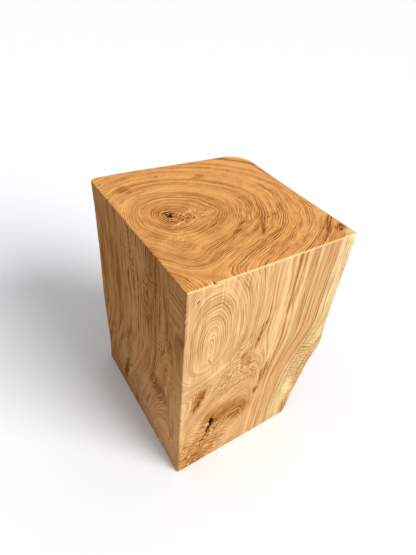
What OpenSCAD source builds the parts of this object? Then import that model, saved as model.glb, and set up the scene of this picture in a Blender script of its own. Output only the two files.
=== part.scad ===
// Solid oak block stool, cut from a trunk just below a fork.
// The front, the left side and both ends are sawn flat. The right and back sides keep the trunk's
// own surface as it lay under the bark, with a burl on the right edge and a waist drawn in below it.
// All sizes are in millimetres. The origin is the middle of the foot, and +Z points up.

/* [Sawn block] */
// Height between the two sawn ends
block_h = 450; // [350:1:550]
// Overall width, from the sawn left face to the fullest line of the natural right side
block_w = 310; // [260:1:360]
// Overall depth, from the sawn front face to the fullest line of the natural back
block_d = 334; // [280:1:390]
// Radius of the sanded upright edge between the front and the left side
upright_r = 3; // [2:0.5:6]
// Radius of the sanded rim around the seat and the foot
rim_r = 2.5; // [1:0.25:2.75]

/* [Natural right side] */
// How much the seat's front edge falls short of the overall width
front_setback = 8; // [0:0.5:20]
// How far the front right edge draws in at the foot
foot_recess = 36; // [10:1:60]
// How far the back corner draws in at the foot
back_recess = 14; // [0:1:30]
// Height at which the back corner begins to draw in
back_waist_z = 290; // [200:1:340]
// How far the burl on the front right edge swells out
burl_swell = 5.5; // [0:0.5:8]
// Height of the burl's fullest line above the foot, where the waist below it begins
burl_z = 206; // [150:1:260]
// Height over which the burl dies away, above and below its fullest line
burl_reach = 30; // [20:1:50]
// Depth over which the burl dies away, from the front face to the back
burl_deep = 110; // [60:1:200]
// Radius of the front right edge above the burl
right_edge_r = 4; // [3:0.5:8]
// Radius of the front right edge at the foot
foot_edge_r = 12; // [8:0.5:20]

/* [Natural back side] */
// How far the back comes forward between the left corner and the back corner
back_fall = 12; // [0:0.5:25]
// Depth of the hollows that run along the back, from crest to hollow
back_wave = 8; // [0:0.5:14]
// Radius of the trunk's own round between the back and the right side
back_corner_r = 44; // [20:1:70]
// Radius of the trunk's own round between the back and the left side
left_corner_r = 13; // [6:0.5:25]

/* [Bark pocket in the front] */
// Width of the long bark pocket
pocket_w = 17.5; // [10:0.5:24]
// Height of the long bark pocket
pocket_h = 43; // [30:0.5:60]
// Depth of the long bark pocket
pocket_deep = 16; // [6:0.5:25]
// Width of the small pocket below it
pip_w = 11; // [6:0.5:14]
// Height of the small pocket
pip_h = 9.5; // [8:0.5:18]
// Depth of the small pocket
pip_deep = 8; // [4:0.5:14]

/* [Drying checks] */
// Width of the check at the pith, on the seat
pith_w = 12; // [6:0.5:18]
// Length of the check at the pith
pith_l = 16; // [8:0.5:24]
// Depth of the check at the pith
pith_deep = 5; // [3:0.5:9]
// Width of the split across the seat's front edge
split_w = 3; // [1.5:0.25:5]
// Length of that split over the seat
split_l = 10; // [6:0.5:16]
// Length of that split down the front
split_drop = 8; // [4:0.5:14]
// How far that split reaches into the edge, level and down alike
split_deep = 5; // [3:0.5:8]
// Width of the pits beside the seat's corners
pit_w = 5; // [3:0.25:7]
// Length of those pits
pit_l = 8; // [5:0.5:11]
// Depth of those pits
pit_deep = 4; // [2:0.5:6]

/* [Hidden] */

// How far a cut runs past the face that it opens
overrun = 1;
// Steps around the rim's quarter round, around an edge, around a big natural corner and along a side
rim_steps = 4;
edge_steps = 6;
corner_steps = 12;
side_steps = 16;
// Steps of the loft between the two rims
level_steps = 36;
// Most of an upright edge's radius that the rim may take
rim_limit_share = 0.9;
rim = min(rim_r, rim_limit_share * min(upright_r, right_edge_r, left_corner_r));

// Draw-in of the waist, evenly spaced from the foot up to the burl, as shares of the recess
waist_shares = [1, 0.84, 0.83, 0.77, 0.67, 0.56, 0.43, 0.35, 0.21, 0.06, 0];
// Swell of the right side along the seat, from the front edge to the back corner
right_swell_shares = [0, 0.05, 0.09, 0.12, 0.2, 0.4, 0.62, 0.84, 1];
// Fall of the back along the seat, from the left corner to the back corner
back_fall_shares = [0, 0, 0.1, 0.28, 0.48, 0.67, 0.85, 1];
// Hollows of the back by height at the left corner, from the foot to the seat
left_wave_shares = [0.3, 1, 0.76, 0.32, 0.03, 0.27, 0.47, 0.58, 0.55, 0];
// Hollows of the back by height at the back corner
back_wave_shares = [0.9, 0.7, 0.4, 0.1, 0.2, 0.45, 0.5, 0.3, 0.1, 0];

// Outlines of the pockets and checks across and along, as shares of their width and length
pocket_shares = [
    [0.73, 1], [0.5, 0.99], [0.34, 0.89], [0.27, 0.8], [0.49, 0.64], [0.38, 0.51], [0.2, 0.43], [0.12, 0.2],
    [0, 0.07], [0.13, 0], [0.32, 0.1], [0.38, 0.24], [0.54, 0.3], [0.71, 0.35], [0.7, 0.47], [0.67, 0.57],
    [0.82, 0.59], [1, 0.66], [0.87, 0.77], [0.91, 0.88]
];
pip_shares = [
    [0.92, 0.89], [0.62, 1], [0.35, 0.76], [0, 0.51], [0.39, 0.12], [0.71, 0], [0.96, 0.22], [1, 0.65]
];
pith_shares = [
    [0.5, 1], [0.32, 0.72], [0, 0.62], [0.22, 0.42], [0.3, 0.1], [0.55, 0], [0.72, 0.3], [1, 0.55],
    [0.8, 0.72]
];
leaf_shares = [[0.5, 1], [0.1, 0.7], [0, 0.4], [0.5, 0], [1, 0.35], [0.85, 0.75]];
// How a pocket narrows on the way down: share of its depth, share of its outline
floor_shares = [[0, 1], [0.35, 0.9], [0.7, 0.65], [1, 0.25]];

// Places on the faces, as shares of the sawn face's width and height or of the seat's width and depth
pocket_place_shares = [0.2, 0.252];
pip_place_shares = [0.149, 0.1635];
pith_place_shares = [0.216, 0.506];
split_place_share = 0.134;
pit_place_shares = [[0.921, 0.06], [0.95, 0.09], [0.02, 0.913]];
// Turns of the pits about their own middles
pit_turns = [-35, -10, -53];

// Value at t, from 0 to 1, on a smooth curve through evenly spaced shares
function smooth(shares, t) =
    let (
        last = len(shares) - 1,
        s = min(max(t, 0), 1) * last,
        i = min(floor(s), last - 1),
        f = s - i,
        b = shares[i],
        c = shares[i + 1],
        b_slope = (c - shares[max(i - 1, 0)]) / 2,
        c_slope = (shares[min(i + 2, last)] - b) / 2
    )
    b + f * (b_slope + f * (3 * (c - b) - 2 * b_slope - c_slope + f * (2 * (b - c) + b_slope + c_slope)));

function unit(v) = v / norm(v);

// Points on an arc, both ends included
function arc(centre, r, from, to, steps) =
    [for (i = [0:steps]) let (a = from + (to - from) * i / steps) centre + r * [cos(a), sin(a)]];

// A slope that starts and ends level, from 0 to 1
function ease(t) = let (f = min(max(t, 0), 1)) f * f * (3 - 2 * f);

// Draw-in of the waist at a height, as a share of its recess, at the front edge and at the back corner
function front_waist(z) = smooth(waist_shares, z / burl_z);
function back_waist(z) = 1 - ease(z / back_waist_z);

// The burl's swell at a height, and at a depth behind the front face
function burl(z, v) = burl_swell * exp(-pow((z - burl_z) / burl_reach, 2) - pow(v / burl_deep, 2));

// The right side's place at a height, at depth v behind the front and share t of the way to the back
function right_at(z, v, t) =
    block_w - front_setback * (1 - smooth(right_swell_shares, t))
    - foot_recess * front_waist(z) * (1 - ease(t)) - back_recess * back_waist(z) * ease(t) + burl(z, v);

function right_at_front(z) = right_at(z, 0, 0);
function right_at_back(z) = right_at(z, block_d, 1);
function back_at_left(z) = block_d - back_wave * smooth(left_wave_shares, z / block_h);
function back_at_right(z) = block_d - back_fall - back_wave * smooth(back_wave_shares, z / block_h);
function front_edge_r(z) = right_edge_r + (foot_edge_r - right_edge_r) * front_waist(z);

// Points along the right side, between its two rounds
function right_side(z) =
    let (
        low = front_edge_r(z),
        high = back_at_right(z) - back_corner_r
    )
    [
        for (i = [1:side_steps - 1])
        let (
            t = i / side_steps,
            v = low + (high - low) * t
        )
        [right_at(z, v, t), v]
    ];

// Points along the back, from its round with the right side to its round with the left side
function back_side(z) =
    let (
        low = left_corner_r,
        high = right_at_back(z) - back_corner_r
    )
    [
        for (i = [side_steps - 1:-1:1])
        let (
            t = i / side_steps,
            s = smooth(back_fall_shares, t)
        )
        [
            low + (high - low) * t,
            back_at_left(z) + (back_at_right(z) - back_at_left(z)) * s
        ]
    ];

// Outline of the block at a height, turning left from the sanded front left edge
function outline(z) =
    let (
        front_r = front_edge_r(z),
        right_u = right_at_front(z),
        back_u = right_at_back(z),
        right_v = back_at_right(z),
        left_v = back_at_left(z)
    )
    concat(
        arc([upright_r, upright_r], upright_r, 180, 270, edge_steps),
        arc([right_u - front_r, front_r], front_r, 270, 360, edge_steps),
        right_side(z),
        arc([back_u - back_corner_r, right_v - back_corner_r], back_corner_r, 0, 90, corner_steps),
        back_side(z),
        arc([left_corner_r, left_v - left_corner_r], left_corner_r, 90, 180, edge_steps)
    );

// An outline drawn in by a distance, each point square to its neighbours
function drawn_in(ring, distance) =
    let (n = len(ring))
    [
        for (i = [0:n - 1])
        let (along = unit(ring[(i + 1) % n] - ring[i]) + unit(ring[i] - ring[(i + n - 1) % n]))
        ring[i] - distance * unit([along[1], -along[0]])
    ];

// A level of the block: its outline at height z, drawn in for the rim
function level(z, rim_in) =
    [for (p = drawn_in(outline(z), rim_in)) [p[0] - block_w / 2, p[1] - block_d / 2, z]];

function block_levels() = concat(
    [for (i = [0:rim_steps]) let (a = 90 * i / rim_steps) level(rim * (1 - cos(a)), rim * (1 - sin(a)))],
    [for (i = [1:level_steps - 1]) level(rim + (block_h - 2 * rim) * i / level_steps, 0)],
    [
        for (i = [0:rim_steps])
        let (a = 90 * i / rim_steps)
        level(block_h - rim * (1 - sin(a)), rim * (1 - cos(a)))
    ]
);

// Solid through a stack of closed rings, lowest first, each of equally many points and turning left
module loft(rings) {
    n = len(rings[0]);
    last = len(rings) - 1;
    foot = [for (i = [0:n - 1]) i];
    head = [for (i = [n - 1:-1:0]) last * n + i];
    walls = [
        for (k = [0:last - 1], i = [0:n - 1])
        let (
            a = k * n + i,
            b = k * n + (i + 1) % n
        )
        each [[a, b + n, b], [a, a + n, b + n]]
    ];
    polyhedron(points = [for (ring = rings) each ring], faces = concat([foot], walls, [head]));
}

// Pocket that opens upwards at z = 0 and narrows to its floor
module pocket(shares, w, l, deep) {
    function ring(s, z) =
        [for (p = shares) [(p[0] - 1 / 2) * w * s, (p[1] - 1 / 2) * l * s, z]];
    walls = [for (i = [len(floor_shares) - 1:-1:0]) ring(floor_shares[i][1], -deep * floor_shares[i][0])];
    loft(concat(walls, [ring(1, overrun)]));
}

// Lays a pocket on the sawn front, at shares of the overall width and height
module on_front(place) {
    translate([(place[0] - 1 / 2) * block_w, -block_d / 2, place[1] * block_h])
        rotate([90, 0, 0])
            children();
}

// Lays a pocket on the seat, at shares of the overall width and depth
module on_seat(place) {
    translate([(place[0] - 1 / 2) * block_w, (place[1] - 1 / 2) * block_d, block_h])
        children();
}

// Split across the seat's front edge: a thin wedge, widest on the edge, that closes along the seat,
// down the front and into the wood
module edge_split() {
    translate([(split_place_share - 1 / 2) * block_w, -block_d / 2, block_h])
        polyhedron(
            points = [
                [-split_w / 2, -overrun, overrun],
                [split_w / 2, -overrun, overrun],
                [0, split_l, overrun],
                [0, -overrun, -split_drop],
                [0, split_deep, -split_deep]
            ],
            faces = [[0, 2, 1], [0, 1, 3], [0, 4, 2], [2, 4, 1], [1, 4, 3], [3, 4, 0]]
        );
}

module block() {
    color([0.80, 0.58, 0.33])
        difference() {
            loft(block_levels());
            on_front(pocket_place_shares) pocket(pocket_shares, pocket_w, pocket_h, pocket_deep);
            on_front(pip_place_shares) pocket(pip_shares, pip_w, pip_h, pip_deep);
            on_seat(pith_place_shares) pocket(pith_shares, pith_w, pith_l, pith_deep);
            for (i = [0:len(pit_turns) - 1])
                on_seat(pit_place_shares[i]) rotate(pit_turns[i]) pocket(leaf_shares, pit_w, pit_l, pit_deep);
            edge_split();
        }
}

block();
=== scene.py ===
# %% [markdown]
# # An oak block stool, cut from one trunk
#
# The real object is one solid piece of oak, 45 cm tall. The saw left four flat faces: the seat, the foot,
# the front and the left side. The right side and the back are the trunk's own surface, sanded and oiled
# like the rest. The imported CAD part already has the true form, so this lesson gives it a finer skin and
# the wood itself: rings, a limb that leaves the trunk through the front, knots, checks and a bark pocket.

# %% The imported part
import math

import bmesh
import bpy
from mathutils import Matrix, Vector
from mathutils.bvhtree import BVHTree


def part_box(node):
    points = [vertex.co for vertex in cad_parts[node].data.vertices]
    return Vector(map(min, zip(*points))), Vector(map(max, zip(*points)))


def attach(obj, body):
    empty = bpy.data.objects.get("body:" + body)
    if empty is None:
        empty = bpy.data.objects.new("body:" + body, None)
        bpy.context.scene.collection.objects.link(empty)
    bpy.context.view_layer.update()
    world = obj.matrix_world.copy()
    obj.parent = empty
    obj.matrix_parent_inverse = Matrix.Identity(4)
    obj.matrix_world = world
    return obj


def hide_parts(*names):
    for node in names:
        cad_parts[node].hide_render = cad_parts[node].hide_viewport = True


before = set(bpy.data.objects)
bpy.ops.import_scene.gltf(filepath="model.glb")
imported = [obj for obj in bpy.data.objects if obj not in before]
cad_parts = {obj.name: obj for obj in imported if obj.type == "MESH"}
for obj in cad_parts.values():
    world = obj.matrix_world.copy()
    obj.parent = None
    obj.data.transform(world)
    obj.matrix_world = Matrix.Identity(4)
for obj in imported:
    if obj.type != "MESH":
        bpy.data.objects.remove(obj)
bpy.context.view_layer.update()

low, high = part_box("block")
MM = 0.001
print("block", [round(side / MM, 1) for side in high - low], "mm")

# %% [markdown]
# ## Node trees written as sums
#
# Wood is a long formula: distances to the pith, added to bumps and to noise. Such a formula can be wired by
# hand, node by node, but then it can't be read. So one small class stands for a node's output. A plus or a
# times between two of them adds a Math node, and one method makes every other kind of node. The same class
# serves the Geometry Nodes tree further down, because both kinds of tree share these nodes.

# %% One class for a node's output
class Wire:
    """An output of a node in Wire.tree. Sums and products of wires add Math nodes to that tree."""

    tree = None

    def __init__(self, socket):
        self.socket = socket

    @classmethod
    def node(cls, kind, settings=None, sockets=None, output=0):
        """Add a node: its settings first, then the values or the wires of its sockets."""
        node = cls.tree.nodes.new(kind)
        for name, value in (settings or {}).items():
            setattr(node, name, value)
        for key, value in (sockets or {}).items():
            if isinstance(value, Wire):
                cls.tree.links.new(value.socket, node.inputs[key])
            else:
                node.inputs[key].default_value = value
        return cls(node.outputs[output]) if node.outputs else None

    @classmethod
    def math(cls, operation, *values):
        return cls.node("ShaderNodeMath", {"operation": operation}, dict(enumerate(values)))

    @classmethod
    def vector(cls, operation, *values, output="Vector"):
        return cls.node("ShaderNodeVectorMath", {"operation": operation}, dict(enumerate(values)), output)

    def __add__(self, other):
        return Wire.math("ADD", self, other)

    def __sub__(self, other):
        return Wire.math("SUBTRACT", self, other)

    def __rsub__(self, other):
        return Wire.math("SUBTRACT", other, self)

    def __mul__(self, other):
        return Wire.math("MULTIPLY", self, other)

    def __truediv__(self, other):
        return Wire.math("DIVIDE", self, other)

    def __rtruediv__(self, other):
        return Wire.math("DIVIDE", other, self)

    __radd__ = __add__
    __rmul__ = __mul__


print("operators of a wire:", "+", "-", "*", "/")

# %% [markdown]
# ## The solid, welded
#
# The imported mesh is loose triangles, and it has to stay as it is. A welded copy can be worked on: the long
# triangles of the natural sides are joined to four-sided faces, because those subdivide into an even skin.
# The border of each sawn face is noted as an edge attribute. It keeps that border crisp later on.

# %% Weld a copy and note the sawn faces
WELD = 0.01 * MM
ON_PLANE = 0.05 * MM
FLAT_WITHIN = math.radians(12)
SQUARE_WITHIN = math.radians(70)
SAWN_PLANES = {"left": (0, low.x), "front": (1, low.y), "foot": (2, low.z), "seat": (2, high.z)}


def sawn_face(face):
    """The name of the sawn plane that holds the whole face, or an empty name."""
    for name, (axis, place) in SAWN_PLANES.items():
        if all(abs(vert.co[axis] - place) < ON_PLANE for vert in face.verts):
            return name
    return ""


form = bmesh.new()
form.from_mesh(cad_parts["block"].data)
bmesh.ops.remove_doubles(form, verts=form.verts, dist=WELD)
loose = [face for face in form.faces if not sawn_face(face)]
bmesh.ops.join_triangles(
    form, faces=loose, angle_face_threshold=FLAT_WITHIN, angle_shape_threshold=SQUARE_WITHIN
)
print("welded to", len(form.verts), "points and", len(form.faces), "faces")

# %% Note the borders of the sawn faces
crease = form.edges.layers.float.new("saw_edge")
for edge in form.edges:
    names = {sawn_face(face) for face in edge.link_faces}
    edge[crease] = float(names != {""})
    edge.smooth = len(names) == 1
print("edges kept crisp", sum(edge[crease] > 0 for edge in form.edges))

# %% Note how far each point belongs to a natural side
POCKET_ACROSS, POCKET_BACK = 100 * MM, 40 * MM
END_MARGIN = 3 * MM
NATURAL_FROM, NATURAL_OVER = 0.1, 0.3
natural = form.verts.layers.float.new("natural")
for vert in form.verts:
    outward = max(vert.normal.x, vert.normal.y)
    clear_of_ends = min(vert.co.z - low.z, high.z - vert.co.z) / END_MARGIN
    by_the_pocket = vert.co.x - low.x < POCKET_ACROSS and vert.co.y - low.y < POCKET_BACK
    share = min(max((outward - NATURAL_FROM) / NATURAL_OVER, 0.0), 1.0)
    vert[natural] = 0.0 if by_the_pocket else share * min(clear_of_ends, 1.0)
print("natural points", sum(vert[natural] > 0.5 for vert in form.verts))

# %% The block as a piece
block = bpy.data.objects.new("oak_block", bpy.data.meshes.new("oak_block"))
bpy.context.scene.collection.objects.link(block)
form.to_mesh(block.data)
form.free()
oak = bpy.data.materials.new("oiled_oak")
oak.use_nodes = True
print("piece", block.name, "in", oak.name)

# %% [markdown]
# ## The skin of the trunk
#
# The solid's natural sides are made of flat facets. On the real block they are smooth, with the shallow
# furrows that lay under the bark. Sculpting could add them, but a rule does it more evenly: subdivide the
# copy, keep the borders of the sawn faces crisp, and push the natural sides in and out by a noise that is
# stretched along the trunk. Geometry Nodes hold that rule, with its sizes as named inputs.

# %% A Geometry Nodes tree for the skin
SKIN_INPUTS = {
    "Levels": ("NodeSocketInt", 2),
    "Furrow height": ("NodeSocketFloat", 1.1 * MM),
    "Furrow width": ("NodeSocketFloat", 24 * MM),
    "Furrow stretch": ("NodeSocketFloat", 3.2),
    "Seed": ("NodeSocketFloat", 7.0),
}
skin = bpy.data.node_groups.new("trunk_skin", "GeometryNodeTree")
skin.interface.new_socket("Block", in_out="INPUT", socket_type="NodeSocketGeometry")
skin.interface.new_socket("Block", in_out="OUTPUT", socket_type="NodeSocketGeometry")
for name, (kind, _) in SKIN_INPUTS.items():
    skin.interface.new_socket(name, in_out="INPUT", socket_type=kind)
Wire.tree = skin


def given(name):
    """One of the tree's named inputs."""
    return Wire.node("NodeGroupInput", output=name)


def noted(name):
    """A number that the welded copy carries on its points or edges."""
    return Wire.node("GeometryNodeInputNamedAttribute", {"data_type": "FLOAT"}, {"Name": name})


print("skin inputs", list(SKIN_INPUTS))

# %% Subdivide, then furrow the natural sides
fine = Wire.node(
    "GeometryNodeSubdivisionSurface", None,
    {"Mesh": given("Block"), "Level": given("Levels"), "Edge Crease": noted("saw_edge")},
)
stretch = Wire.node("ShaderNodeCombineXYZ", None, {0: 1.0, 1: 1.0, 2: 1 / given("Furrow stretch")})
place = Wire.vector("MULTIPLY", Wire.node("GeometryNodeInputPosition"), stretch)
furrow = Wire.node(
    "ShaderNodeTexNoise", {"noise_dimensions": "4D"},
    {"Vector": place, "W": given("Seed"), "Scale": 1 / given("Furrow width"),
     "Detail": 2.5, "Roughness": 0.45},
)
height = (furrow - 0.5) * 2 * given("Furrow height") * noted("natural")
offset = Wire.node(
    "ShaderNodeVectorMath", {"operation": "SCALE"},
    {"Vector": Wire.node("GeometryNodeInputNormal"), "Scale": height},
)
moved = Wire.node("GeometryNodeSetPosition", None, {"Geometry": fine, "Offset": offset})
smooth = Wire.node("GeometryNodeSetShadeSmooth", None, {"Geometry": moved, "Shade Smooth": True})
dressed = Wire.node("GeometryNodeSetMaterial", None, {"Geometry": smooth, "Material": oak})
real = Wire.node("GeometryNodeRealizeInstances", None, {"Geometry": dressed})
Wire.node("NodeGroupOutput", None, {"Block": real})
print("skin nodes", len(skin.nodes))

# %% Turn the skin into a plain mesh
growth = block.modifiers.new("trunk_skin", "NODES")
growth.node_group = skin
for item in skin.interface.items_tree:
    if item.in_out == "INPUT" and item.name in SKIN_INPUTS:
        growth[item.identifier] = SKIN_INPUTS[item.name][1]
graph = bpy.context.evaluated_depsgraph_get()
grown = block.evaluated_get(graph)
plain = bpy.data.meshes.new_from_object(grown, preserve_all_data_layers=True, depsgraph=graph)
block.modifiers.clear()
block.data = plain
plain.name = "oak_block"
print("skin of", len(plain.polygons), "faces, sharp edges", sum(edge.use_edge_sharp for edge in plain.edges))

# %% [markdown]
# ## How deep a face lies in a hollow
#
# Bark stays in the pockets, so they are dark, and the rest of their darkness is painted shade. How dark
# depends on how little light can reach a face. A few rays over it measure that: the share that hits wood
# close by tells how deep the face lies. The number is kept on the faces, so that it ends exactly at the
# pocket's edge.

# %% Measure the hollows
RAYS = 14
NEAR = 30 * MM
LIFT = 0.3 * MM
GOLDEN_TURN = math.pi * (3 - math.sqrt(5))
SAWN_BELOW = 0.2


def rays_over(normal):
    """Directions spread evenly over the half sphere around a normal."""
    turn = Vector((0, 0, 1)).rotation_difference(normal)
    for i in range(RAYS):
        upright = (i + 0.5) / RAYS
        flat = math.sqrt(1 - upright ** 2)
        yield turn @ Vector((flat * math.cos(i * GOLDEN_TURN), flat * math.sin(i * GOLDEN_TURN), upright))


def may_be_hollow(face):
    """A face that lies on no sawn plane and on no natural side."""
    on_plane = any(abs(face.center[axis] - place) < ON_PLANE for axis, place in SAWN_PLANES.values())
    skin_share = plain.attributes["natural"].data[face.vertices[0]].value
    return not on_plane and skin_share < SAWN_BELOW


walls = BVHTree.FromPolygons([v.co for v in plain.vertices], [face.vertices for face in plain.polygons])
hollow = plain.attributes.new("hollow", "FLOAT", "FACE")
for face in filter(may_be_hollow, plain.polygons):
    start = face.center + face.normal * LIFT
    hits = sum(walls.ray_cast(start, ray, NEAR)[0] is not None for ray in rays_over(face.normal))
    hollow.data[face.index].value = hits / RAYS
print("faces in hollows", sum(item.value > 0.3 for item in hollow.data))

# %% [markdown]
# ## Places inside the wood
#
# The rings go through the whole block, so the wood is a solid pattern on Object coordinates: a cut anywhere
# shows the right grain. All places are millimetres from the block's left, front, bottom corner: across,
# back and up. A picture wrapped around the block could not turn a corner this well.

# %% Across, back and up in millimetres
Wire.tree = oak.node_tree
oak.node_tree.nodes.clear()
SEAT, FRONT, LEFT = 450, 0, 0
object_place = Wire.node("ShaderNodeTexCoord", output="Object")
at = Wire.node(
    "ShaderNodeVectorMath", {"operation": "SCALE"},
    {"Vector": Wire.vector("SUBTRACT", object_place, low), "Scale": 1 / MM},
)


def parts(vector):
    """The three numbers of a vector."""
    split = Wire.node("ShaderNodeSeparateXYZ", None, {0: vector})
    sockets = split.socket.node.outputs
    return [Wire(sockets[i]) for i in range(3)]


def joined(*values):
    """A vector from three numbers."""
    return Wire.node("ShaderNodeCombineXYZ", None, dict(enumerate(values)))


across, back, up = parts(at)
print("wood coordinates start at", [round(n / MM) for n in low], "mm")

# %% Soft steps and noise
SEED_STEP = (7.3, 3.1, 5.7)


def rise(value, start, end):
    """0 before start and 1 after end, with a soft step between. Start may be the larger one."""
    return Wire.node(
        "ShaderNodeMapRange", {"interpolation_type": "SMOOTHSTEP"},
        {"Value": value, "From Min": start, "From Max": end},
    )


def length(vector):
    return Wire.vector("LENGTH", vector, output="Value")


def unsigned(value):
    """The number without its sign."""
    return Wire.math("ABSOLUTE", value)


def cloud(where, size, seed, detail=2.0):
    """Soft noise, mostly between -1 and 1, with lumps of the given size across, back and up."""
    scale = [1 / n for n in size]
    shifted = Wire.vector("MULTIPLY_ADD", where, scale, [seed * step for step in SEED_STEP])
    noise = Wire.node("ShaderNodeTexNoise", None, {"Vector": shifted, "Scale": 1.0, "Detail": detail})
    return (noise - 0.5) * 4


print("helpers", rise.__name__, cloud.__name__)

# %% Spots and streaks
def spot(where, centre, reach, core=0.0):
    """1 in the core of an egg-shaped place and 0 outside it."""
    local = Wire.node(
        "ShaderNodeMapping", {"vector_type": "TEXTURE"},
        {"Vector": where, "Location": centre, "Scale": reach},
    )
    return rise(length(local), 1.0, core)


def streak(where, start, end, width, core=0.0):
    """1 along the core of a spindle between two places and 0 outside it."""
    start, end = Vector(start), Vector(end)
    along = end - start
    turn = along.to_track_quat("Z", "Y").to_euler()
    local = Wire.node(
        "ShaderNodeMapping", {"vector_type": "TEXTURE"},
        {"Vector": where, "Location": (start + end) / 2, "Rotation": turn,
         "Scale": (width, width, along.length / 2)},
    )
    return rise(length(local), 1.0, core)


def places(where, rows, core=0.0):
    """The sum of spots, each with its own strength."""
    return sum((strength * spot(where, centre, reach, core) for centre, reach, strength in rows), 0.0)


def streaks(where, rows, core=0.25):
    """The sum of streaks, each with its own width and strength."""
    return sum((strength * streak(where, a, b, width, core) for a, b, width, strength in rows), 0.0)


print("helpers", spot.__name__, streak.__name__)

# %% [markdown]
# ## The trunk leans, and so do its rings
#
# On the front, the stripes run straight down from the seat and then bend to the left, as the trunk did. On
# the left side the lower grain runs askew. Both are a shift of the coordinates that grows towards the foot.

# %% Straighten the grain
STRIPE_BEND, STRIPE_LEAN, LEFT_LEAN = 53, 22, 75
bend = STRIPE_BEND * (1 - rise(up, 150, 285)) + STRIPE_LEAN * (1 - rise(up, 40, 200))
front_lean = bend * rise(across, 130, 235)
left_lean = LEFT_LEAN * (1 - rise(up, 0, 260)) * (1 - rise(across, 30, 150)) * rise(back, 0, 90)
grain_across = across + front_lean
grain_back = back - left_lean
grain = joined(grain_across, grain_back, up)
print("lean at the foot:", STRIPE_BEND + STRIPE_LEAN, "mm on the front,", LEFT_LEAN, "mm on the left side")

# %% [markdown]
# ## Rings around a trunk and a limb
#
# A tree adds a ring each year, so a point's ring number is its distance to the pith. This trunk grew faster
# to the right, so its rings are wider there. It was about to fork: a limb leaves it through the front face,
# where it shows as an oval eye. Each gives a distance, and a soft minimum of the two makes rings that merge.

# %% Distance to the trunk's pith
PITH = (67, 168)
WIDE_RINGS, NARROW_RINGS = 1.35, 0.85
BLUNT_PITH = 18
from_pith = grain_across - PITH[0]
right_of_pith = Wire.math("MAXIMUM", from_pith, 0) / WIDE_RINGS
left_of_pith = Wire.math("MINIMUM", from_pith, 0) / NARROW_RINGS
trunk = length(joined(right_of_pith + left_of_pith, grain_back - PITH[1], BLUNT_PITH))
print("pith at", PITH, "mm across and back")

# %% Distance to the limb
LIMB_ACROSS, LIMB_UP = 45, 335
SWIRL_ACROSS, SWIRL_BACK = 52, 100
EYE_START, SWIRL_START = 80, 54
OVER_SLOPE, OVER_GROWTH, UNDER_GROWTH = 0.33, 0.0012, 0.011
EYE_SKEW, EYE_DEPTH = 0.45, 0.35
LIMB_BLEND, TRUNK_BLEND = 20, 25
over_eye = Wire.math("MAXIMUM", up - LIMB_UP, 0)
under_eye = Wire.math("MAXIMUM", LIMB_UP - up + EYE_SKEW * (across - LIMB_ACROSS), 0)
eye_tall = over_eye * (OVER_SLOPE + OVER_GROWTH * over_eye) - UNDER_GROWTH * under_eye * under_eye
eye = length(joined(across - LIMB_ACROSS, eye_tall, EYE_DEPTH * back)) + EYE_START
swirl_from = joined(1.5 * (across - SWIRL_ACROSS), back - SWIRL_BACK, 0.5 * (up - SEAT))
swirl = length(swirl_from) + SWIRL_START
limb = Wire.math("SMOOTH_MIN", eye, swirl, LIMB_BLEND)
merged = Wire.math("SMOOTH_MIN", trunk, limb, TRUNK_BLEND)
print("limb through the front at", LIMB_ACROSS, "mm across and", LIMB_UP, "mm up")

# %% Knots push the rings aside
# Each row holds a knot's middle, its reach and how far it pushes the rings.
KNOTS = [
    ((130, 152, SEAT), (26, 20, 200), 12),
    ((33, FRONT, 208), (17, 60, 60), 6),
    ((60, FRONT, 112), (24, 40, 40), 10),
    ((20, FRONT, 20), (40, 40, 36), 8),
    ((46, 10, 75), (22, 40, 22), 8),
    ((LEFT, 105, 328), (40, 30, 34), 8),
    ((LEFT, 80, 170), (40, 34, 44), 10),
]
PATCH_FROM, PATCH_TO, PATCH_WIDTH = (42, FRONT, 84), (160, FRONT, 176), 40
PATCH_PUSH = 10
patch_lens = streak(at, PATCH_FROM, PATCH_TO, PATCH_WIDTH)
pushed = places(at, KNOTS) + PATCH_PUSH * patch_lens
print("knots", len(KNOTS))

# %% Curls stir the rings
# Each row holds a place's middle, its reach and its strength.
CURLS = [
    ((105, 10, 235), (75, 60, 65), 1.0),
    ((100, 150, SEAT), (50, 45, 60), 1.0),
    ((170, 60, SEAT), (150, 85, 60), 0.4),
    ((50, FRONT, 40), (80, 40, 80), 1.0),
    ((270, FRONT, 130), (60, 60, 120), 0.4),
    ((LEFT, 110, 370), (60, 110, 90), 0.6),
    ((42, FRONT, 112), (40, 40, 60), 1.0),
    ((52, 100, SEAT), (26, 24, 40), 1.3),
]
CURL_REACH = 2.6
curl = CURL_REACH * places(at, CURLS) * cloud(at, (11, 11, 12), 3, 1.0)
print("curly places", len(CURLS))

# %% Rings drift, and sweep up under the eye
SLOW_DRIFT, QUICK_DRIFT = 4.5, 1.5
RIDGE_UP, RIDGE_ACROSS, RIDGE_SLOPE = 190, 33, 0.55
SWEEP, SLANT = 0.45, 0.3
calm = (1 - 0.5 * rise(back, 150, 260)) * (1 - 0.6 * rise(across, 120, 190) * rise(back, 80, 10))
slow_drift = SLOW_DRIFT * cloud(grain, (70, 70, 260), 1) * calm
quick_drift = QUICK_DRIFT * cloud(grain, (22, 22, 80), 2) * calm
ridge = RIDGE_UP + RIDGE_SLOPE * (across - RIDGE_ACROSS)
below_ridge = Wire.math("SMOOTH_MAX", ridge - up, 0, 40)
swept_place = (1 - rise(across - 0.05 * up, 118, 168)) * (1 - rise(back, 5, 70))
sweep = SWEEP * below_ridge * swept_place
slant = SLANT * (across - 100) * swept_place * rise(up, 170, 60)
growth_radius = merged + slow_drift
radius = growth_radius + quick_drift - sweep - slant - pushed + curl
print("rings drift by", SLOW_DRIFT, "and", QUICK_DRIFT, "mm")

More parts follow.
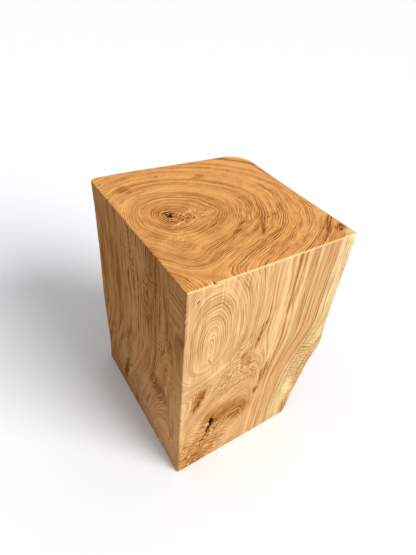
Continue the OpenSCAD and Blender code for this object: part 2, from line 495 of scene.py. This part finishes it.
# %% [markdown]
# ## From ring number to tone
#
# Oak is ring-porous: each ring starts with a dark line of pores and turns paler towards the next one. A saw
# tooth of the radius gives that line. Its strength differs from year to year, by a noise on the whole ring
# number, and a slower noise on the radius makes lean and rich years in bands. The cut counts too: an end
# shows each line sharply, while a side shows long fibres. The face's normal tells which cut it is.

# %% Which way a face looks
BOUNCE_FADE_BACK = 326
sideways, forwards, upwards = parts(Wire.node("ShaderNodeNewGeometry", output="Normal"))
end_grain = rise(unsigned(upwards), 0.55, 0.95)
front_face = rise(-1 * forwards, 0.6, 0.95)
left_face = rise(-1 * sideways, 0.6, 0.95)
# Painted shade on the left side fades towards its low front corner, where painted bounce light from the lit
# floor gathers.
bounce_corner = (1 - up / SEAT) * (1 - back / BOUNCE_FADE_BACK)
painted_left_shade = left_face * rise(bounce_corner, 0.75, 0.15)
print("faces told apart by their normals: ends, front, left side")

# %% One year after the other
RING = 3.3
years = radius / RING
year = Wire.math("FLOOR", years)
season = Wire.math("FRACT", years)
vigour = Wire.node("ShaderNodeTexWhiteNoise", {"noise_dimensions": "1D"}, {"W": year})
pores = Wire.math("MAXIMUM", 1 - rise(season, 0.05, 0.7), rise(season, 0.85, 1.0))
print("ring every", RING, "mm")

# %% Where the pore lines fade
breaks = 0.8 + 0.6 * cloud(grain, (26, 26, 70), 7)
plain_below_eye = 1 - 0.85 * spot(at, (55, FRONT, 296), (52, 60, 46), 0.3)
faint_back = 0.45 + 0.55 * rise(back, 240, 110)
faint_right = 1 - 0.5 * rise(across, 180, 280) * rise(back, 20, 90)
faint_edge = 1 - 0.6 * spot(at, (70, 6, 445), (84, 45, 42), 0.3)
faint_left = 1 - 0.6 * left_face * rise(up, 330, 400) * rise(back, 80, 30)
faint = plain_below_eye * (faint_back * faint_right) * (faint_edge * faint_left)
line = pores * (0.2 + 0.8 * vigour) * breaks * faint
print("pore lines fade at the back, on the right, at the front edge and below the eye")

# %% Rich years, fibres and mottle
RICH_SPAN = 15
rich_noise = Wire.node(
    "ShaderNodeTexNoise", {"noise_dimensions": "1D"},
    {"W": radius / RICH_SPAN, "Scale": 1.0, "Detail": 3.0},
)
rich_years = (rich_noise - 0.5) * 4 * (0.8 + 0.5 * cloud(grain, (45, 45, 150), 10))
askew = swept_place * (1 - rise(up, 200, 290))
ring_fibre = cloud(joined(radius, up, across + back), (1.7, 60, 60), 5)
ring_fibre = ring_fibre * plain_below_eye * (1 + 0.3 * end_grain)
long_fibre = cloud(grain, (2.2, 2.2, 90), 8) * (1 - askew) * (1 - 0.85 * end_grain)
fibre = 0.8 * ring_fibre + 0.6 * long_fibre
stripe = cloud(joined(grain_across, 0.2 * grain_back, up), (4.0, 40, 700), 9) * (1 - askew)
mottle = cloud(grain, (14, 14, 30), 6, 3.0)
print("rich years about every", RICH_SPAN, "mm")

# %% [markdown]
# ## Heartwood, a red band and sapwood
#
# The colour also depends on how far out the wood grew. The middle is a warm brown, the wood further out is
# straw-coloured, a reddish band marks the edge of the heartwood, and the sapwood outside it is palest. Oil
# darkens the ends most, because their pores drink it. The front gets a paler tone, a painted highlight, and
# the left side a darker one, painted shade. So each colour has three tones, and the face's normal chooses
# between them.

# %% Helpers for colour
def paint(red, green, blue):
    """A colour as it is named on a screen, from 0 to 255, turned into the linear numbers of a shader."""
    def linear(n):
        n = n / 255
        return n / 12.92 if n <= 0.04045 else ((n + 0.055) / 1.055) ** 2.4
    return (linear(red), linear(green), linear(blue), 1.0)


def mix(a, b, share):
    """Colour a turning into colour b."""
    return Wire.node("ShaderNodeMix", {"data_type": "RGBA"}, {"Factor": share, 6: a, 7: b}, output=2)


def lit_and_shaded_tone(oiled, front_lit, left_shaded):
    """A colour with three tones: the oiled ends, the front paler as a painted highlight, and the left side
    darker as painted shade.
    """
    return mix(mix(paint(*oiled), paint(*front_lit), front_face), paint(*left_shaded), painted_left_shade)


print("helpers", paint.__name__, mix.__name__, lit_and_shaded_tone.__name__)

# %% Colours of the wood
# Each row: the ends' oiled tone, the front's tone, paler as a painted highlight, and the left side's tone,
# darker as painted shade.
TONES = {
    "straw": ((234, 168, 97), (214, 176, 125), (191, 140, 87)),
    "early": ((154, 84, 28), (147, 92, 43), (120, 73, 34)),
    "red band": ((204, 138, 72), (193, 148, 100), (176, 124, 76)),
    "sap": ((238, 194, 128), (225, 205, 153), (191, 140, 87)),
}
STRAW, EARLY, RED_BAND, SAP = [lit_and_shaded_tone(*tones) for tones in TONES.values()]
AMBER = paint(180, 130, 62)
print("tones of", ", ".join(TONES))

# %% Where the heartwood ends
RED_STARTS, RED_ENDS, SAP_STARTS = (207, 211), (228, 224.5), (225, 230)
BACK_LAG, NARROW_AT_FOOT = 0.18, 10
outwards = growth_radius - BACK_LAG * back
red_band = rise(outwards - NARROW_AT_FOOT * rise(up, 230, 60), *RED_STARTS) * rise(outwards, *RED_ENDS)
sapwood = rise(outwards, *SAP_STARTS)
heart = mix(STRAW, RED_BAND, red_band * 0.8)
heart = mix(heart, SAP, sapwood)
heart = mix(heart, AMBER, 0.3 * front_face * rise(up, 330, 160))
print("sapwood starts", SAP_STARTS, "mm out")

# %% How dark the wood is
BASE_SHADE, PORE_SHADE, RICH_SHADE = 0.24, 0.7, 0.28
FIBRE_SHADE, MOTTLE_SHADE = 0.36, 0.12
# Each row holds a year's distance from the pith, its reach and how much darker it is.
YEAR_BANDS = [(185.4, 2.2, -0.25), (190.8, 3.0, 0.2), (206, 2.6, -0.25), (198, 2.0, -0.15)]


def year_band(middle, reach):
    """1 at one distance from the pith, and 0 from the reach on."""
    return rise(unsigned(outwards - middle), reach, 0.3 * reach)


bands = sum((strength * year_band(middle, reach) for middle, reach, strength in YEAR_BANDS), 0.0)
striped = (0.22 + 0.6 * red_band) * stripe * (1 - end_grain) * rise(across, 90, 150)
shade = BASE_SHADE + line * (PORE_SHADE - 0.2 * sapwood) + RICH_SHADE * rich_years * (1 - 0.5 * sapwood)
shade = shade + FIBRE_SHADE * fibre + MOTTLE_SHADE * mottle + bands + striped
print("single years that stand out", len(YEAR_BANDS))

# %% Waves in the burl and in curly places
BURL_SHADE, CURLY_SHADE = 0.34, 0.4
BURLS = [
    ((105, FRONT, 226), (80, 40, 58), 1.0),
    ((112, FRONT, 292), (48, 40, 46), 1.0),
]
CURLY = [
    ((45, FRONT, 50), (95, 40, 90), 1.0),
    ((45, FRONT, 128), (42, 40, 42), 0.8),
    ((LEFT, 135, 400), (30, 85, 62), 0.5),
    ((LEFT, 60, 260), (30, 60, 130), 0.4),
    ((LEFT, 40, 80), (30, 60, 90), 0.35),
]
burl_phase = (0.75 * up - 0.5 * across + 6 * cloud(at, (17, 17, 15), 26)) * 1.15
burl_wave = Wire.math("SINE", burl_phase)
curly_phase = (0.95 * up + 0.2 * across + 9 * cloud(at, (30, 30, 20), 31)) * 0.36
curly_wave = 1 - 2 * unsigned(Wire.math("SINE", curly_phase))
curly_place = places(at, CURLY, 0.3)
shade = shade + BURL_SHADE * places(at, BURLS, 0.3) * burl_wave + CURLY_SHADE * curly_place * curly_wave
print("wavy places", len(BURLS) + len(CURLY))

# %% From heartwood to pore lines
MID_SHADE = 0.32
# The left side's painted shade also gets a stronger grain contrast.
contrast = 1 + 0.5 * end_grain + 0.55 * painted_left_shade * rise(back, 20, 80)
shade = shade + 0.12 * rich_years * end_grain * rise(back, 180, 260)
wood = mix(heart, EARLY, MID_SHADE + (shade - MID_SHADE) * contrast)
pale_ring = rise(season, 0.58, 0.72) * rise(season, 0.92, 0.8) * vigour * end_grain
wood = mix(wood, SAP, 0.6 * pale_ring * (0.35 + 0.65 * rise(across, 190, 90)))
print("contrast turns on a shade of", MID_SHADE)

# %% Ripples in the sapwood
ripple_place = spot(at, (262, FRONT, 150), (66, 60, 150), 0.3)
ripple = Wire.math("SINE", (0.5 * across + 0.95 * up + 4 * cloud(at, (26, 26, 26), 21)) * 0.8)
ripple = ripple * rise(cloud(at, (22, 22, 30), 22), -0.5, 0.5)
blotch = cloud(at, (14, 14, 9), 30)
wood = mix(wood, EARLY, ripple_place * sapwood * (0.3 + 0.5 * ripple + 0.35 * blotch))
print("ripples around the waist of the right edge")

# %% A stain along the right edge
EDGE_AT_FOOT, EDGE_REACH, EDGE_UP = 263, 42, 200
SOAK_FROM, SOAK_TO = -20, 2
SOAKED = paint(186, 128, 66)
right_edge = EDGE_AT_FOOT + EDGE_REACH * Wire.math("POWER", Wire.math("MINIMUM", up / EDGE_UP, 1), 1.7)
soak = rise(across - right_edge - 4 * cloud(at, (12, 12, 22), 23), SOAK_FROM, SOAK_TO)
wood = mix(wood, SOAKED, 0.8 * soak * (1 - end_grain) * (0.55 + 0.45 * cloud(at, (8, 8, 16), 24)))
print("stain from", SOAK_FROM, "to", SOAK_TO, "mm around the right edge")

# %% [markdown]
# ## Marks that only this block has
#
# Some marks follow no rule: the dark heart of a knot, a brown patch beside the bark pocket, the streaks on
# the seat. Each is a spot or a streak at its place. Their coordinates are shaken by a little noise first,
# so that no mark has the clean outline of an egg. The marks on the sides are shaken by the fibres as well,
# because there a stain creeps along the grain.

# %% Shaken places
SHAKE, HALF_SHAKE = 5.0, 0.35
shakes = joined(*[SHAKE * cloud(at, (13, 13, 18), seed, 3.0) for seed in (11, 12, 13)])
shaken = Wire.vector("ADD", at, shakes)
half_shaken = Wire.vector("MULTIPLY_ADD", shakes, [HALF_SHAKE] * 3, at)
fibrous = Wire.vector("ADD", shaken, joined(1.2 * fibre, 1.2 * fibre, 2.5 * fibre))
print("places shaken by about", SHAKE, "mm")

# %% Dark marks on the seat
SPOT_CORE = 0.35
SEAT_SPOTS = [
    ((67, 171, SEAT), (12, 13, 20), 2.0),
    ((74, 152, SEAT), (28, 16, 20), 0.8),
    ((174, 264, SEAT), (20, 9, 30), 0.95),
    ((37, 272, SEAT), (18, 20, 30), 0.9),
    ((107, 295, SEAT), (8, 8, 20), 1.0),
    ((289, 24, SEAT), (15, 14, 14), 1.2),
    ((95, 170, SEAT), (110, 75, 60), 0.45),
]
SEAT_STREAKS = [
    ((192, 128, SEAT), (90, 52, SEAT), 5, 1.1),
    ((198, 104, SEAT), (158, 50, SEAT), 5, 1.1),
    ((245, 108, SEAT), (188, 94, SEAT), 5, 0.9),
    ((300, 68, SEAT), (248, 4, SEAT), 8, 1.0),
    ((130, 118, SEAT), (98, 112, SEAT), 4, 0.9),
    ((210, 325, SEAT), (286, 314, SEAT), 5, 1.1),
    ((301, 288, SEAT), (304, 200, SEAT), 5, 1.1),
]
stain = places(shaken, SEAT_SPOTS, SPOT_CORE) + streaks(half_shaken, SEAT_STREAKS)
print("dark marks on the seat", len(SEAT_SPOTS) + len(SEAT_STREAKS))

# %% Dark marks on the sides
SIDE_SPOTS = [
    ((106, FRONT, 126), (58, 30, 50), 0.85),
    ((126, FRONT, 110), (32, 30, 34), 0.6),
    ((80, FRONT, 147), (48, 30, 30), 0.6),
    ((62, FRONT, 118), (24, 30, 44), 0.8),
    ((40, FRONT, 45), (75, 30, 80), 0.7),
    ((46, FRONT, 72), (22, 30, 24), 0.9),
    ((28, FRONT, 18), (40, 30, 34), 0.6),
    ((256, FRONT, 34), (16, 30, 36), 0.7),
    ((49, FRONT, 71), (8, 20, 6), 3.0),
    ((44, FRONT, 56), (6, 20, 6), 2.0),
    ((106, FRONT, 298), (52, 30, 46), 0.35),
    ((156, FRONT, 154), (8, 10, 14), 1.4),
    ((16, FRONT, 427), (3, 8, 3), 2.4),
    ((LEFT, 108, 328), (20, 20, 34), 0.8),
    ((LEFT, 78, 170), (20, 48, 40), 1.7),
    ((LEFT, 85, 425), (20, 40, 36), 0.7),
]
SIDE_STREAKS = [
    ((148, FRONT, 350), (131, FRONT, 264), 4.5, 2.6),
    ((194, FRONT, 388), (186, FRONT, 328), 7, 0.9),
    ((178, FRONT, 248), (155, FRONT, 142), 9, 1.5),
    ((20, FRONT, 160), (46, FRONT, 256), 15, 1.35),
    ((26, FRONT, 176), (37, FRONT, 228), 4.5, 2.4),
    ((35, FRONT, 194), (49, FRONT, 248), 5, 1.2),
    ((31, FRONT, 318), (62, FRONT, 271), 3, 1.4),
    ((69, FRONT, 124), (51, FRONT, 80), 8, 3.0),
    ((LEFT, 298, 445), (LEFT, 300, 170), 17, 1.3),
    ((LEFT, 238, 445), (LEFT, 226, 200), 15, 1.1),
    ((LEFT, 203, 140), (LEFT, 240, -8), 10, 3.2),
    ((LEFT, 105, 130), (LEFT, 142, 40), 7, 1.8),
    ((LEFT, 180, 290), (LEFT, 215, 60), 18, 0.8),
]
stain = stain + places(fibrous, SIDE_SPOTS, SPOT_CORE) + streaks(fibrous, SIDE_STREAKS)
print("dark marks on the sides", len(SIDE_SPOTS) + len(SIDE_STREAKS))

# %% Tannin in the dark marks
TANNIN = mix(paint(154, 95, 32), paint(146, 78, 22), end_grain)
KNOT_BROWN = paint(96, 54, 18)
stain = stain * (0.5 + 0.65 * line + 0.6 * fibre + 0.4 * curly_place * curly_wave)
veins = line + 0.4 * fibre + 0.3 * curly_wave
wood = mix(wood, TANNIN, 1.05 * stain)
wood = mix(wood, KNOT_BROWN, 0.85 * rise(stain, 0.7, 1.7) + 0.55 * veins * rise(stain, 0.1, 0.7))
print("stain soaks in by pore lines and fibres")

# %% Light marks
LIGHT_SPOTS = [
    ((130, 152, SEAT), (14, 10, 20), 0.35),
    ((300, 2, SEAT), (28, 24, 16), 0.9),
    ((246, FRONT, 100), (20, 30, 44), 0.55),
    ((LEFT, 12, 220), (20, 22, 200), 0.3),
]
LIGHT_STREAKS = [
    ((118, 172, SEAT), (84, 158, SEAT), 5, 0.6),
    ((84, 148, SEAT), (44, 134, SEAT), 5, 0.6),
    ((264, 82, SEAT), (212, 14, SEAT), 9, 0.4),
    ((232, 60, SEAT), (188, 4, SEAT), 7, 0.35),
    ((152, FRONT, 302), (88, FRONT, 276), 8, 0.12),
    ((98, FRONT, 281), (22, FRONT, 244), 9, 0.35),
]
WORM_PLACES = [((90, 152, SEAT), (46, 26, 30), 1.0), ((56, 112, SEAT), (28, 26, 30), 0.7)]
worms = rise(unsigned(cloud(at, (10, 10, 30), 27, 1.0)), 0.32, 0.05)
glow = places(shaken, LIGHT_SPOTS, 0.2) + streaks(shaken, LIGHT_STREAKS)
glow = glow + 0.45 * worms * places(shaken, WORM_PLACES, 0.4)
GOLD = mix(SAP, paint(255, 192, 114), end_grain * rise(across, 270, 210))
wood = mix(wood, GOLD, glow)
print("light marks", len(LIGHT_SPOTS) + len(LIGHT_STREAKS) + len(WORM_PLACES))

# %% Flecks around the bark pocket
FLECK_PLACES = [((40, FRONT, 45), (75, 30, 90), 1.0), ((60, FRONT, 130), (45, 30, 50), 0.8)]
flecks = rise(unsigned(cloud(shaken, (18, 18, 9), 25)), 0.45, 0.05) * places(at, FLECK_PLACES)
wood = mix(wood, TANNIN, 0.6 * flecks)
print("flecks in", len(FLECK_PLACES), "places")

# %% [markdown]
# ## The trunk's skin, dust and the hollows
#
# The natural sides keep the cambium's colour in a thin mottled film. The left side turns paler towards its
# low front corner, painted bounce light from the floor; the eased edge between the seat and the front
# carries a painted highlight; and the pockets hold bark, darkened further by painted shade. Each is one more
# layer of colour over the wood.

# %% Four more layers of colour
def carried(name):
    """A number that the mesh carries on its points or faces."""
    return Wire.node("ShaderNodeAttribute", {"attribute_name": name}, output="Fac")


SKIN, SKIN_DARK = paint(178, 120, 66), paint(136, 82, 40)
PAINTED_BOUNCE, RIM_HIGHLIGHT, BARK_AND_SHADE = paint(190, 160, 130), paint(244, 214, 160), paint(38, 24, 16)
film = mix(SKIN, SKIN_DARK, 0.4 + 0.5 * cloud(at, (18, 18, 40), 15, 3.0))
wood = mix(wood, film, carried("natural") * (0.6 + 0.25 * cloud(at, (30, 30, 70), 16)))
# Painted bounce light: the left side turns paler towards its low front corner, as if lit from the floor.
bounce_share = 0.25 + 0.15 * rise(bounce_corner, 0.3, 0.8)
wood = mix(wood, PAINTED_BOUNCE, bounce_share * left_face * rise(up, 320, 60) * rise(back, 330, 120))
# Painted highlight: the eased edge between the seat and the front is painted pale, where the key light
# catches it.
eased_edge_highlight = rise(-1 * forwards * upwards, 0.15, 0.4) * rise(back, 8, 4)
wood = mix(wood, RIM_HIGHLIGHT, 0.45 * eased_edge_highlight)
# Partly bark, partly painted shade: faces deep in a hollow turn dark brown.
depth = carried("hollow")
wood = mix(wood, BARK_AND_SHADE, rise(depth, 0.3, 0.9))
print("layers: trunk skin, dust, eased edge, old bark")

# %% [markdown]
# ## A satin oil finish
#
# Sanded and oiled oak is neither matt nor polished. The pores are rougher than the wood between them, fine
# fibres along the trunk are felt as a low bump, and the oil leaves a thin film on the ends and the front.
# That film is a coat over a base that doesn't shine. A shiny base would reflect the pale floor on the left
# side, which is seen at a low angle, and lay a grey veil over it.

# %% The shader
FIBRE_SIZE = (1.6, 1.6, 30)
COAT_ON_ENDS, COAT_ON_FRONT = 0.4, 0.15
rough = 0.44 + 0.1 * line + 0.03 * fibre
relief = Wire.node(
    "ShaderNodeBump", None,
    {"Strength": 0.25, "Distance": 0.3 * MM, "Height": cloud(at, FIBRE_SIZE, 28)},
    output="Normal",
)
oil_film = (COAT_ON_ENDS * end_grain + COAT_ON_FRONT * front_face) * rise(depth, 0.15, 0.02)
finish = Wire.node(
    "ShaderNodeBsdfPrincipled", None,
    {"Base Color": wood, "Roughness": rough, "Normal": relief, "IOR": 1.46, "Specular IOR Level": 0.0,
     "Coat Weight": oil_film, "Coat Roughness": 0.35, "Coat IOR": 1.4},
)
Wire.node("ShaderNodeOutputMaterial", None, {"Surface": finish})
print("oak nodes", len(oak.node_tree.nodes))

# %% [markdown]
# ## Floor, light and camera
#
# The floor is a plain sheet of paper, a slightly cool white, because the oak throws warm light on it. A
# broad soft key light stands in front and to the right, and a wide soft light overhead keeps the shadow
# open. The camera looks down from the front left corner. Its place and lens were solved from the block's
# straight edges.

# %% The floor
FLOOR_REACH = 14.0
COOL_WHITE = (0.885, 0.9, 0.92, 1)
floor = bpy.data.objects.new("floor", bpy.data.meshes.new("floor"))
bpy.context.scene.collection.objects.link(floor)
ends = (-FLOOR_REACH, FLOOR_REACH)
floor.data.from_pydata([(x, y, 0.0) for y in ends for x in ends], [], [(0, 1, 3, 2)])
paper = bpy.data.materials.new("white_paper")
paper.use_nodes = True
sheet = paper.node_tree.nodes["Principled BSDF"]
sheet.inputs["Base Color"].default_value = COOL_WHITE
sheet.inputs["Roughness"].default_value = 0.9
sheet.inputs["Specular IOR Level"].default_value = 0.1
floor.data.materials.append(paper)
print("floor", 2 * FLOOR_REACH, "m wide")

# %% The lights
def soft_sun(name, azimuth, elevation, spread, strength):
    """A sun with a wide disc. Azimuth 0 shines on the front and 90 on the right side; angles in degrees."""
    lamp = bpy.data.lights.new(name, "SUN")
    lamp.angle = math.radians(spread)
    lamp.energy = strength * math.pi
    turn, lift = math.radians(azimuth), math.radians(elevation)
    source = Vector((math.sin(turn) * math.cos(lift), -math.cos(turn) * math.cos(lift), math.sin(lift)))
    holder = bpy.data.objects.new(name, lamp)
    holder.rotation_euler = (-source).to_track_quat("-Z", "Y").to_euler()
    bpy.context.scene.collection.objects.link(holder)


soft_sun("key", azimuth=27, elevation=31, spread=38, strength=1.2)
soft_sun("overhead", azimuth=0, elevation=90, spread=77, strength=0.3)
world = bpy.data.worlds.new("studio")
world.use_nodes = True
sky = world.node_tree.nodes["Background"]
sky.inputs["Color"].default_value = (1, 1, 1, 1)
sky.inputs["Strength"].default_value = 0.2
bpy.context.scene.world = world
bpy.context.scene.view_settings.view_transform = "Standard"
print("lights", [lamp.name for lamp in bpy.data.lights])

# %% The camera
IMAGE = (416, 555)
FOCUS_PIXELS = 407.3
SENSOR = 36.0
EYE = Vector((-0.3481, -0.4731, 0.7720))
TARGET = Vector((0.0465, 0.0727, 0.2250))
ROLL = math.radians(5.41)
lens = bpy.data.cameras.new("camera")
lens.sensor_width = SENSOR
lens.lens = FOCUS_PIXELS / max(IMAGE) * SENSOR
camera = bpy.data.objects.new("camera", lens)
look = (TARGET - EYE).to_track_quat("-Z", "Y").to_matrix().to_4x4()
camera.matrix_world = look
camera.rotation_euler.rotate_axis("Z", ROLL)
camera.location = EYE
bpy.context.scene.collection.objects.link(camera)
bpy.context.scene.camera = camera
print("lens", round(lens.lens, 2), "mm")

# %% [markdown]
# ## Hand the piece to the frame
#
# The finished skin rides on the part's only body and stands for its only solid.

# %% Ride, replace and finish
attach(block, "root")
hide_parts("block")
